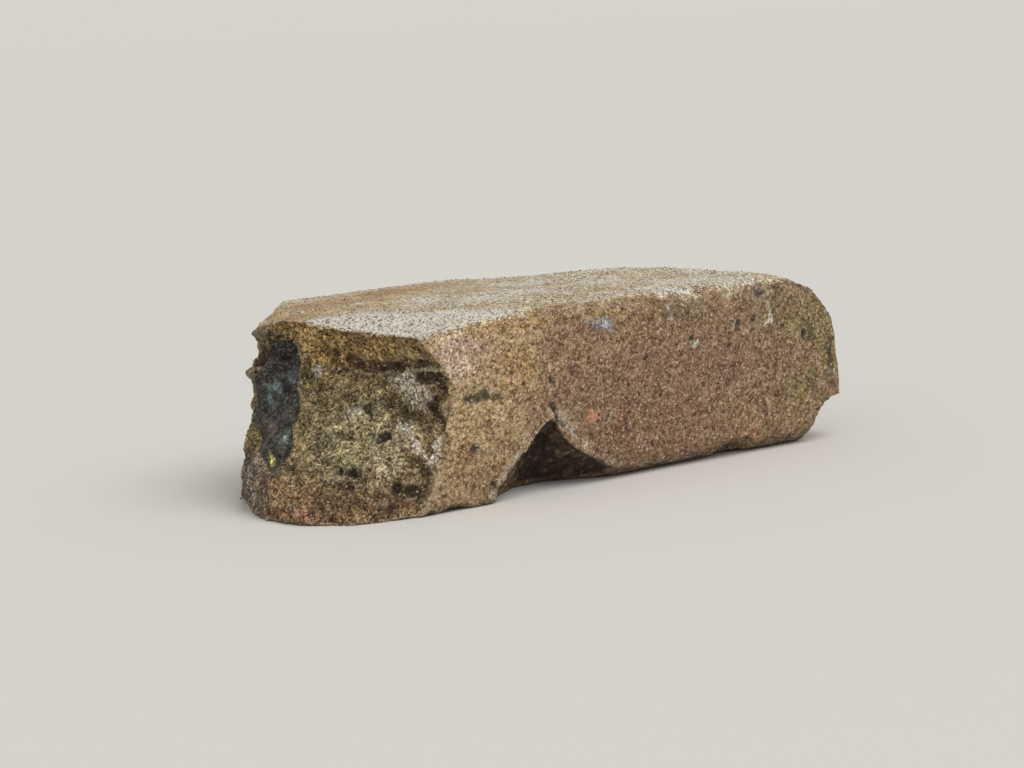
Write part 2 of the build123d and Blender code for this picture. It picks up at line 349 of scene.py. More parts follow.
# Marks carved in: height less each mark's depth times the nearness to its line.
def carved(height, marks, ragged):
    for line, radius, deep, _, _ in marks:
        height = height - deep * nearness(ragged, line, radius)
    return height


# A new object of a mesh, a lamp or a camera, put into the scene.
def newObject(name, data):
    made = bpy.data.objects.new(name, data)
    bpy.context.scene.collection.objects.link(made)
    return made


# The mesh that an object's modifiers make.
def modifiedMesh(piece):
    return bpy.data.meshes.new_from_object(piece.evaluated_get(bpy.context.evaluated_depsgraph_get()))


# All points of a mesh in millimetres, and the surface's direction at each.
def pointsOf(mesh):
    flat = np.empty(len(mesh.vertices) * 3)
    mesh.vertices.foreach_get("co", flat)
    points = flat.reshape(-1, 3) / mm
    mesh.vertices.foreach_get("normal", flat)
    return points, flat.reshape(-1, 3).copy()


# The numbers of the two points that each edge of a mesh joins.
def edgeEnds(mesh):
    ends = np.empty(len(mesh.edges) * 2, np.int64)
    mesh.edges.foreach_get("vertices", ends)
    return ends.reshape(-1, 2)


# The mean at each point over the edges that meet there: an edge gives its first end the first
# value, and its second end the second.
def meanOverEdges(ends, forFirst, forSecond, count):
    first, second = ends.T
    edges = np.bincount(first, minlength=count) + np.bincount(second, minlength=count)
    return (np.bincount(first, forFirst, count) + np.bincount(second, forSecond, count)) / edges


# The mean over each point's neighbours along the mesh's edges, round after round.
def evened(mesh, values, rounds):
    ends = edgeEnds(mesh)
    for _ in range(rounds):
        values = meanOverEdges(ends, values[ends[:, 1]], values[ends[:, 0]], len(values))
    return values


# Where the object is seen most: on top, on the near side, on the fracture and in the chip, but
# not on the bed.
def seenMost(points, normals):
    seen = (normals[:, 2] > brick["facesUp"]) | (points[:, 1] < brick["nearBand"] - halfWidth)
    seen = (seen | (points[:, 0] < brick["breakEnds"] - 1)) & (normals[:, 2] > brick["facesDown"])
    inChip = (np.abs((points - brick["chipCentre"]) / brick["chipReach"]) < 1).all(axis=1)
    return seen | inChip & (points[:, 2] > 1.5)


# A closed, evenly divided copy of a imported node: its triangles joined and covered by a net of equal
# squares, which are quartered where the object is seen most, laid back on the node and smoothed.
def evenCopy(node, name, spacing, smoothing):
    joined = bmesh.new()
    joined.from_mesh(node.data)
    bmesh.ops.remove_doubles(joined, verts=joined.verts, dist=1e-6)
    whole = bpy.data.meshes.new(name + "Form")
    joined.to_mesh(whole)
    joined.free()
    form = newObject(name + "Form", whole)
    rough = newObject(name + "Net", whole)
    net = rough.modifiers.new("net", "REMESH")
    net.mode, net.voxel_size = "VOXEL", spacing * mm
    squares = modifiedMesh(rough)
    seen = seenMost(*pointsOf(squares))
    squares.edges.foreach_set("select", seen[edgeEnds(squares)].all(axis=1))
    divided = bmesh.new()
    divided.from_mesh(squares)
    chosen = [edge for edge in divided.edges if edge.select]
    bmesh.ops.subdivide_edges(divided, edges=chosen, cuts=1, use_grid_fill=True)
    divided.to_mesh(squares)
    divided.free()
    laid = newObject(name + "Laid", squares)
    wrap = laid.modifiers.new("on the node", "SHRINKWRAP")
    wrap.wrap_method, wrap.target = "NEAREST_SURFACEPOINT", form
    smooth = laid.modifiers.new("smooth", "SMOOTH")
    smooth.factor, smooth.iterations = 0.5, smoothing
    even = modifiedMesh(laid)
    even.name = name
    for helper in (form, rough, laid):
        bpy.data.objects.remove(helper)
    return newObject(name, even)


# How far each point is under the top: under its worn facets, or outside the scoop, if less.
def depthUnderTop(points):
    down = 2 * halfHeight - points[:, 2]
    depth = down
    for start, stop, fall in brick["facets"]:
        along = np.array(stop, float) - np.array(start, float)
        right = np.array((along[1], -along[0])) / np.hypot(*along)
        beyond = (points[:, :2] - np.array(start)) @ right
        slope = math.radians(fall)
        depth = np.minimum(depth, down * math.cos(slope) - beyond * math.sin(slope))
    axisPoint, axisWay, scoopRadius = brick["scoop"]
    fromAxis = points - np.array(axisPoint)
    fromAxis = fromAxis - (fromAxis @ np.array(axisWay))[:, None] * np.array(axisWay)
    return np.minimum(depth, np.linalg.norm(fromAxis, axis=1) - scoopRadius)


# How far each point is under the unbroken brick's surface. Across the brick this is the distance
# to a rectangle with rounded corners; on top it is the depth under the top, if less.
def depthUnderSkin(points):
    x, y, z = points.T
    bedArris = np.where(x < brick["bedArrisChange"], brick["crispBedArris"], brick["wornBedArris"])
    radius = np.where((z < halfHeight) & (y < 0), bedArris, brick["arris"])
    side = np.abs(y) - (halfWidth - radius)
    rest = np.abs(z - halfHeight) - (halfHeight - radius)
    outside = np.hypot(np.maximum(side, 0), np.maximum(rest, 0))
    distance = outside + np.minimum(np.maximum(side, rest), 0) - radius
    return np.minimum(-distance, depthUnderTop(points))


# Nearness to the long arrises and to the edges of the whole end: the product of the rises towards
# the two faces that meet there.
def nearEdges(points):
    x, y, z = points.T
    fromSide, fromTop = brick["arrisWear"]
    starts, full, fromEndTop = brick["endWear"]
    fromMiddle = np.abs(z - halfHeight)
    towardsSide = rise(np.abs(y), halfWidth - fromSide, halfWidth)
    longEdge = towardsSide * rise(fromMiddle, halfHeight - fromTop, halfHeight)
    endEdge = np.maximum(towardsSide, rise(fromMiddle, halfHeight - fromEndTop, halfHeight))
    return np.maximum(longEdge, rise(x, halfLength - starts, halfLength - full) * endEdge)


# How far inside the slag's edges each point is: its edges across the brick, by height.
def insideSlag(points):
    heights, near, far = np.array(fracture["slagEdges"]).T
    y, z = points.T[1:]
    across = np.minimum(y - np.interp(z, heights, near), np.interp(z, heights, far) - y)
    return np.minimum(across, 1.5 * np.minimum(z - heights[0], heights[-1] - z))


# The ragged strip of the top beside its near edge, 1 to 4 mm wide.
def nearRim(y, border):
    return 1 - rise(y + halfWidth + 6 * border, 0.5, 4.0)


# The worn strip's patches, with a ragged edge.
def wornStrip(points, border):
    return np.clip(patches(points, sandedSkin["wornStrip"]) * (1 + 1.8 * border), 0, 1)


# The noises that make the zones' edges and colours uneven: strayed points, and layered noise
# coarse, fine and broad.
def unevenness(points):
    return {"ragged": strayed(points, 2.8, 0.9, 1), "border": layeredNoise(points, 7.0, 3, 121),
            "fine": layeredNoise(points, 2.6, 2, 125), "broad": layeredNoise(points, 34.0, 3, 131)}


# How far each point belongs to each zone, 0 to 1. What lies under the unbroken surface is fracture
# or chip. The top is what faces up, and what has spilled over its near edge. It is wet in
# clusters, most of all beside the break, and not on the worn strips; where it is wet, white grains
# are painted as glints.
def zonesOf(points, normals, noise):
    x, y = points.T[:2]
    ragged, border, up = noise["ragged"], noise["border"], normals[:, 2]
    broken = rise(depthUnderSkin(points) + 0.25 * softNoise(points, 4.0, 5), 0.5, 1.5)
    ends = brick["breakEnds"] + brick["breakSlant"] * np.clip(y / halfWidth, 0, 1)
    isFracture = broken * rise(x, ends + 1, ends - 1)
    reach = np.abs((points - brick["chipCentre"]) / brick["chipReach"]).max(axis=1)
    isChip = broken * (1 - isFracture) * (1 - rise(reach, 0.95, 1.05))
    slag = rise(insideSlag(points) + 1.6 * noise["fine"] + 0.8 * border, -0.4, 0.8) * isFracture

    rim = nearRim(y, border)
    top = rise(up + 0.18 * border, 0.55, 0.9) * (1 - 0.8 * rim)
    top += (1 - top) * 0.7 * rise(depthUnderTop(points) - 5 * border, 3.5, -0.5) * (y < 0)
    dry = nearness(ragged, *sandedSkin["dryStrip"]) + 1.2 * wornStrip(points, border)
    band = nearness(ragged, *sandedSkin["wetGlintBand"])
    clusters = layeredNoise(points / np.array((1.6, 1.0, 1.0)), 9.0, 2, 221)
    wetAndGlint = np.clip(0.36 + 1.1 * band + (0.9 - 0.5 * band) * clusters + 0.3 * noise["broad"] - dry, 0, 1)
    wetAndGlint = wetAndGlint * rise(up, 0.6, 0.9) * (1 - isFracture) * (1 - 0.75 * rim)
    return {"fracture": isFracture, "chip": isChip, "slag": slag, "top": top * (1 - isFracture), "wetAndGlint": wetAndGlint}


# Height of the fracture along its normal: soft lumps, folds whose crests lie where a noise
# crosses zero, flakes of one random height per cell, torn clay and crumbs.
def fractureRelief(points):
    lumps, folds, flakes = fracture["lumps"], fracture["folds"], fracture["flakes"]
    torn, crumbs = fracture["torn"], fracture["crumbs"]
    layered = strayed(turned(points, fracture["foldTilt"], "X"), 6.0, 2.2, 11)
    layered = layered / np.array(fracture["foldStretch"])
    height = lumps[1] * softNoise(points, lumps[0], 15) - 0.4 * lumps[1]
    height += folds[1] * (0.5 - 2 * np.abs(softNoise(layered, folds[0], 21)))
    height += flakes[1] * (nearestSpot(layered, flakes[0], 25)[1] - 0.5)
    height += torn[1] * layeredNoise(layered, torn[0], 2, 31, 0.6)
    return height + crumbs[1] * softNoise(points, crumbs[0], 41)


# Height of the slag: a sunken floor with lumps and ripples.
def slagRelief(points):
    lumps, ripples = fracture["slagLumps"], fracture["slagRipples"]
    floor = -fracture["slagSunk"] + lumps[1] * softNoise(points, lumps[0], 211)
    return floor + ripples[1] * softNoise(points, ripples[0], 215)


# Height of the sanded skin along its normal: long waves, dents and hand marks, less scattered
# round pores, and what is worn off the arrises.
def skinRelief(points):
    wave, dents, pressed, sand = (sandedSkin[n] for n in ("wave", "dents", "pressed", "sand"))
    gap, small, large, deep = sandedSkin["pores"]
    height = wave[1] * softNoise(points, wave[0], 71) + dents[1] * softNoise(points, dents[0], 72) - 0.3
    height += pressed[1] * layeredNoise(points, pressed[0], 2, 73) + sand[1] * softNoise(points, sand[0], 75)
    distance, number = nearestSpot(points, gap, 81)
    radius = small + (large - small) * number ** 2
    height -= deep * (0.4 + 0.6 * number) * np.clip(1 - (distance / radius) ** 2, 0, 1)
    size, loss = sandedSkin["arrisLoss"]
    return height - loss * nearEdges(points) * np.clip(0.35 + layeredNoise(points, size, 2, 95), 0, 1)


# The chip's floor: ridges of torn clay that run down its left flank, and crumbs.
def chipRelief(points):
    alongFlank = turned(points, chip["flankTilt"], "Y") / np.array((2.6, 1.0, 1.0))
    ridges = chip["ridges"][1] * layeredNoise(alongFlank, chip["ridges"][0], 3, 101, 0.6)
    return ridges + chip["crumbs"][1] * softNoise(points, chip["crumbs"][0], 105) - 0.5


# Height of the whole surface: the reliefs of its zones with their marks carved in, of which the
# skin's only goes inwards, and single grains of grit.
def surfaceRelief(points, noise, zones):
    torn = fractureRelief(points)
    torn += zones["slag"] * (slagRelief(points) - torn)
    torn = carved(torn, fracture["marks"], noise["ragged"])
    sanded = np.minimum(carved(skinRelief(points), sandedSkin["marks"], noise["ragged"]), 0.0)
    height = sanded + zones["fracture"] * (torn - sanded) + zones["chip"] * (chipRelief(points) - sanded)
    grit = np.clip(np.random.default_rng(3).normal(0.0, 1.0, len(points)), -2, 2)
    return height + (0.05 + 0.16 * zones["wetAndGlint"] + 0.06 * zones["fracture"]) * grit * (1 - zones["slag"])


# Colours of the torn clay, from the lip down: an ochre brow, a brown column beside the slag, pale
# mossy clay in the middle, rust and ash at the foot, then the single marks.
def tornColours(points, noise):
    y, z = points.T[1:]
    border, fine = noise["border"], noise["fine"]
    colours = plainColour(points, "tornBrown")
    colours = paint(colours, 0.5 + 1.6 * fine, clayColours["tornPale"])
    colours = paint(colours, 0.8 * rise(z + 3 * border, *fracture["brow"]), clayColours["brow"])
    streaks = softNoise(points / np.array((1, 1, 3.5)), 2.0, 201)
    column = rise(y - 0.25 * (z - 30), -21, -12) * rise(z, *fracture["columnFoot"]) * (0.8 + 0.5 * streaks)
    colours = paint(colours, column * (1 - rise(z, *fracture["columnTop"])), clayColours["column"])
    colours = paint(colours, 1.1 * patches(points, fracture["moss"]) * (1 + 0.9 * fine), clayColours["moss"])
    colours = paint(colours, patches(points, fracture["paleClay"]) * (0.5 + 1.3 * fine), clayColours["lime"])
    low = rise(z - 4 * border, *fracture["rust"])
    colours = paint(colours, 0.8 * low, clayColours["rust"])
    colours = paint(colours, low * rise(fine, 0.05, 0.4), clayColours["rustBrown"])
    ash = rise(y + 4 * border, *fracture["ashAcross"]) * rise(z, *fracture["ash"])
    colours = paint(colours, 0.85 * ash, clayColours["ash"])
    colours = colours * (1 + 0.7 * layeredNoise(points / np.array((1, 1, 1.5)), 4.5, 3, 205))[:, None]
    return withMarks(colours, fracture["marks"], noise["ragged"])


# Colours of the slag: near black with spots of grey, blue, pink and yellow, made uneven. The grey-blue
# spot in the middle is a painted highlight, the near-black one at the top painted shadow in the
# hollow under the lip.
def slagColours(points, noise):
    colours = plainColour(points, "slag")
    for place, radius, hexColour in fracture["slagSpots"]:
        spot = patch(points, place, (radius, radius, radius))
        colours = paint(colours, 1.2 * spot * (1 + 1.6 * noise["fine"]), hexColour)
    return colours * np.clip(1 + 3.2 * noise["fine"], 0.12, 3.4)[:, None]


# Colours of the sanded skin: brown, ochre towards the break with warm and lilac spots, olive at
# the whole end, paler on top, partly as painted light from above, darker at the bed's edge as painted
# shade, then the single marks. No colour is known on the hidden sides, so the noise places it there.
def skinColours(points, noise, top):
    x, y, z = points.T
    border, fine, broad = noise["border"], noise["fine"], noise["broad"]
    hidden = rise(y, -44, -38)
    colours = plainColour(points, "body")
    colours = paint(colours, 0.5 + 2.0 * broad, clayColours["bodyPink"])
    ochre = (1 - hidden) * (1.1 * rise(x, -8, -46) + 0.5 * border - 0.1)
    ochre += 0.6 * hidden * rise(broad, 0.0, 0.4)
    colours = paint(colours, ochre, clayColours["ochre"])
    warm = patches(points, sandedSkin["warm"]) * (0.8 + 1.8 * border)
    colours = paint(colours, 0.55 * warm, clayColours["warm"])
    lilac = patches(points, sandedSkin["lilac"]) * (1 + 1.6 * border)
    lilac += 0.22 * hidden * rise(broad, -0.1, -0.6)
    colours = paint(colours, 1.2 * lilac, clayColours["lilac"])
    olive = np.clip(patches(points, sandedSkin["olive"]) * (1 + 1.6 * border), 0, 1)
    colours = paint(colours, olive, clayColours["olive"])
    colours = paint(colours, 0.95 * olive * rise(fine, 0.08, 0.35), clayColours["dampOlive"])
    low = patches(points, sandedSkin["lowBrown"]) + 0.35 * rise(z, 26, 8) * (1 - top)
    colours = paint(colours, low * (1 + border), clayColours["lowBrown"])
    # the top paler than the sides, partly painted light from above
    colours = paint(colours, top, clayColours["top"])
    colours = paint(colours, top * (0.35 + 1.2 * border), clayColours["topPale"])
    colours = paint(colours, 0.95 * top * wornStrip(points, border), clayColours["topBrown"])
    # painted shade along the bed's edge
    colours = paint(colours, 0.6 * (1 - top) * rise(z - 2.5 * border, 4.5, 1.0), clayColours["bedEdgeShade"])
    return withMarks(colours, sandedSkin["marks"], noise["ragged"])


# Colours of the chip: dark brown, which is painted shade, with paler streaks down its left flank
# and a paler left foot, which are partly painted light.
def chipColours(points, noise):
    alongFlank = turned(points, chip["flankTilt"], "Y") / np.array((3.4, 1.0, 1.0))
    streaks = rise(softNoise(alongFlank, 1.3, 107) + noise["fine"], 0.1, 0.7)
    colours = paint(plainColour(points, "chip"), 0.75 * streaks, clayColours["litChipFlank"])
    leftFoot = rise(points[:, 0], -20, -34) * (0.6 + 1.2 * noise["fine"])
    return paint(colours, leftFoot, clayColours["litChipFlank"])


# Colours of the whole surface: the skin with the chip's pale rims, over it the fracture with its
# slag and the chip, and a darker ground under the wet sand.
def surfaceColours(points, noise, zones):
    colours = skinColours(points, noise, zones["top"])
    for line, radius, share in chip["rims"]:
        rim = nearness(noise["ragged"], line, radius) * (0.45 + 1.8 * noise["fine"])
        colours = paint(colours, share * rim, clayColours["chipRim"])
    inside = tornColours(points, noise)
    inside += zones["slag"][:, None] * (slagColours(points, noise) - inside)
    colours += zones["fracture"][:, None] * (inside - colours)
    colours += zones["chip"][:, None] * (chipColours(points, noise) - colours)
    return paint(colours, 0.4 * zones["wetAndGlint"] * zones["top"], clayColours["wetBase"])


def storeLayer(mesh, name, values):
    layer = mesh.attributes.new(name, "FLOAT", "POINT")
    layer.data.foreach_set("value", values.astype(np.float32))


# Keeps for the material how far each point lies in a hollow or on a crest, for painted shade in
# the hollows and painted highlights on the crests: its height less the mean around it, over a depth
# that is larger where the clay is rough.
def storeShadedHollowsAndLitCrests(mesh, height, zones):
    local = height - evened(mesh, height, 10)
    scale = 0.16 + 0.5 * zones["fracture"] * (1 - zones["slag"]) + 0.3 * zones["chip"]
    storeLayer(mesh, "shadedHollow", np.clip(-local / scale - 0.25, 0, 1) * (1 - 0.65 * zones["wetAndGlint"]))
    storeLayer(mesh, "litCrest", np.clip(local / scale - 0.25, 0, 1) * (1 - 0.85 * zones["slag"]))


# The brick: its points moved along their normals by the relief, and held inside the node's box.
# Those of the near top arris first move to the mean of their neighbours, which wears it round.
def shapeBrick():
    piece = evenCopy(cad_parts["clay_brick"], "brokenBrick", brick["spacing"], brick["smoothing"])
    mesh = piece.data
    points, normals = pointsOf(mesh)
    noise = unevenness(points)
    zones = zonesOf(points, normals, noise)
    height = surfaceRelief(points, noise, zones)
    colours = surfaceColours(points, noise, zones)

    fromArris = np.maximum(depthUnderTop(points), points[:, 1] + halfWidth)
    nearArris = rise(fromArris, 5.5, 2.5) * (1 - zones["fracture"])
    rounded = np.stack([evened(mesh, points[:, axis], brick["arrisRounds"]) for axis in range(3)], axis=1)
    laid = points + nearArris[:, None] * (rounded - points)
    shaped = np.clip((laid + height[:, None] * normals) * mm, lowest, highest)
    mesh.vertices.foreach_set("co", shaped.ravel())
    mesh.polygons.foreach_set("use_smooth", np.ones(len(mesh.polygons), bool))

    tint = mesh.attributes.new("clayTint", "FLOAT_COLOR", "POINT")
    opaque = np.column_stack([colours, np.ones(len(points))])
    tint.data.foreach_set("color", opaque.astype(np.float32).ravel())
    storeShadedHollowsAndLitCrests(mesh, height, zones)
    for name, values in zones.items():
        storeLayer(mesh, name, values)
    print("brick:", len(points), "points,", sum(len(p.vertices) - 2 for p in mesh.polygons), "triangles")
    return piece, zones


brokenBrick, brickZones = shapeBrick()


sandGrains = {
    "radius": (0.15, 0.36),         # real sand is 0.1 to 0.4 mm, drawn a little coarser so that it shows
    "halfSize": (0.7, 1.25),        # least and most, each way, in radii
    "proud": 0.25,                  # how far a grain's middle lies above the surface, in radii
    "aside": 0.35,                  # and how far from its point along the surface, at most, in mm
    "perSquareMm": {"wetAndGlint": 1.0, "fracture": 0.10, "skin": 0.05},
    # how pale the grains are: the palest dry one, the darkest wet one of the few dark and of the
    # pale ones, which are painted glints, how much each of those varies, and the share of dark ones
    "dry": 0.72, "wetDark": 0.3, "glintPale": 0.74, "wetRange": 0.26, "darkShare": 0.12,
}


# Random turns, each as the nine numbers of a matrix, from a random quaternion w, a, b, c.
def randomTurns(choose, number):
    way = choose.normal(size=(number, 4))
    w, a, b, c = (way / np.linalg.norm(way, axis=1, keepdims=True)).T
    turns = [1 - 2 * (b * b + c * c), 2 * (a * b - c * w), 2 * (a * c + b * w),
             2 * (a * b + c * w), 1 - 2 * (a * a + c * c), 2 * (b * c - a * w),
             2 * (a * c - b * w), 2 * (b * c + a * w), 1 - 2 * (a * a + b * b)]
    return np.stack(turns, axis=1).reshape(-1, 3, 3)


# The points that take a grain. A point's own share of surface is about its mean edge squared, and
# one grain in a square millimetre means a chance of that share.
def grainPlaces(choose, mesh, points):
    ends = edgeEnds(mesh)
    lengths = np.linalg.norm(points[ends[:, 0]] - points[ends[:, 1]], axis=1)
    share = meanOverEdges(ends, lengths, lengths, len(points)) ** 2
    each = sandGrains["perSquareMm"]
    dense = each["skin"] + each["wetAndGlint"] * brickZones["wetAndGlint"]
    dense = dense + (each["fracture"] - each["skin"]) * brickZones["fracture"]
    dense = dense * (1 - 0.95 * brickZones["slag"]) * (1 - brickZones["chip"]) * (points[:, 2] > 0.6)
    return np.flatnonzero(choose.random(len(points)) < dense * share)


# Grains of sand that stand proud of the brick: each has six corners at plus and minus its three
# half sizes, randomly turned, and sits on a random point of the surface.
def strewnSand():
    choose = np.random.default_rng(11)
    points, normals = pointsOf(brokenBrick.data)
    picked = grainPlaces(choose, brokenBrick.data, points)
    number, outwards = len(picked), normals[picked]
    small, large = sandGrains["radius"]
    sizes = small + (large - small) * choose.random(number) ** 1.6
    halves = sizes[:, None] * choose.uniform(*sandGrains["halfSize"], (number, 3))
    corners = np.array([(1, 0, 0), (-1, 0, 0), (0, 1, 0), (0, -1, 0), (0, 0, 1), (0, 0, -1)], float)
    sides = np.array([(0, 2, 4), (2, 1, 4), (1, 3, 4), (3, 0, 4),
                      (2, 0, 5), (1, 2, 5), (3, 1, 5), (0, 3, 5)])
    around = np.einsum("nij,nkj->nki", randomTurns(choose, number), corners[None] * halves[:, None, :])
    aside = choose.uniform(-sandGrains["aside"], sandGrains["aside"], (number, 3))
    aside -= (aside * outwards).sum(axis=1, keepdims=True) * outwards
    middles = points[picked] + aside + sizes[:, None] * sandGrains["proud"] * outwards
    grainPoints = np.clip((middles[:, None, :] + around).reshape(-1, 3) * mm, lowest, highest)
    faces = (sides[None] + len(corners) * np.arange(number)[:, None, None]).reshape(-1, 3)
    grains = bpy.data.meshes.new("strewnSand")
    grains.from_pydata(grainPoints.tolist(), [], faces.tolist())

    # where wet, most grains are near white: painted glints
    wetHere = np.clip(brickZones["wetAndGlint"][picked] * 1.3, 0, 1)
    paleness = sandGrains["dry"] * choose.random(number)
    isDark = choose.random(number) < sandGrains["darkShare"]
    wetPaleness = np.where(isDark, sandGrains["wetDark"], sandGrains["glintPale"])
    wetPaleness = wetPaleness + sandGrains["wetRange"] * choose.random(number)
    paleness += wetHere * (wetPaleness - paleness)
    storeLayer(grains, "paleness", np.repeat(paleness, len(corners)))
    print("sand:", number, "grains,", len(faces), "triangles")
    return newObject("strewnSand", grains)


strewn = strewnSand()


# Adds one node: its settings, then its inputs, each a number, a colour or another node's output,
# and the stops of its ramp.
def addNode(tree, kind, inputs=None, stops=None, **settings):
    node = tree.nodes.new("ShaderNode" + kind)
    node.location = (220 * (len(tree.nodes) % 12), -260 * (len(tree.nodes) // 12))
    for name, value in settings.items():
        setattr(node, name, value)
    for name, value in (inputs or {}).items():
        if isinstance(value, bpy.types.NodeSocket):
            tree.links.new(value, node.inputs[name])
        else:
            node.inputs[name].default_value = value
    if stops:
        ramp = node.color_ramp
        while len(ramp.elements) < len(stops):
            ramp.elements.new(0.5)
        for element, (place, colour) in zip(ramp.elements, stops):
            element.position, element.color = place, colour
    return node


# A new material with an empty node tree.
def newMaterial(name):
    material = bpy.data.materials.new(name)
    material.use_nodes = True
    material.node_tree.nodes.clear()
    return material


def perMetre(size):
    return 1000.0 / size


clayGrains = {
    # real sand grains are 0.1 to 0.5 mm, drawn 0.5 and 0.9 mm so that they show
    "sand": 0.52, "grit": 0.95, "clots": 5.5,
    # a noise of the first size moves the pattern within the second, so no grain has straight edges
    "stray": (0.9, 0.6),
    "poresApart": 2.6,              # they are up to 1.4 mm across, with soft edges
    # what makes a grain light: shares of two sizes of grain, of the clots and of the wet, the last a painted
    # sheen
    "shares": {"sand": 0.46, "grit": 0.26, "clots": 0.28, "wetAndGlint": 0.09},
    # what the clay's colour is multiplied by, from dark grains to light ones, on the skin and where torn
    "skinStops": [(0.18, (0.24, 0.19, 0.15, 1)), (0.34, (0.58, 0.52, 0.46, 1)), (0.5, (0.98, 0.96, 0.93, 1)),
                  (0.66, (1.40, 1.46, 1.54, 1)), (0.82, (1.95, 2.15, 2.45, 1))],
    "tornStops": [(0.20, (0.12, 0.09, 0.06, 1)), (0.36, (0.42, 0.37, 0.30, 1)), (0.5, (0.92, 0.9, 0.85, 1)),
                  (0.66, (1.7, 1.74, 1.76, 1)), (0.84, (2.9, 3.1, 3.3, 1))],
    "hueStops": [(0.0, (1.12, 0.96, 0.84, 1)), (0.5, (1.0, 1.0, 1.0, 1)), (1.0, (0.9, 1.0, 1.1, 1))],
    "roughness": {"dry": 0.88, "damp": 0.48},
}


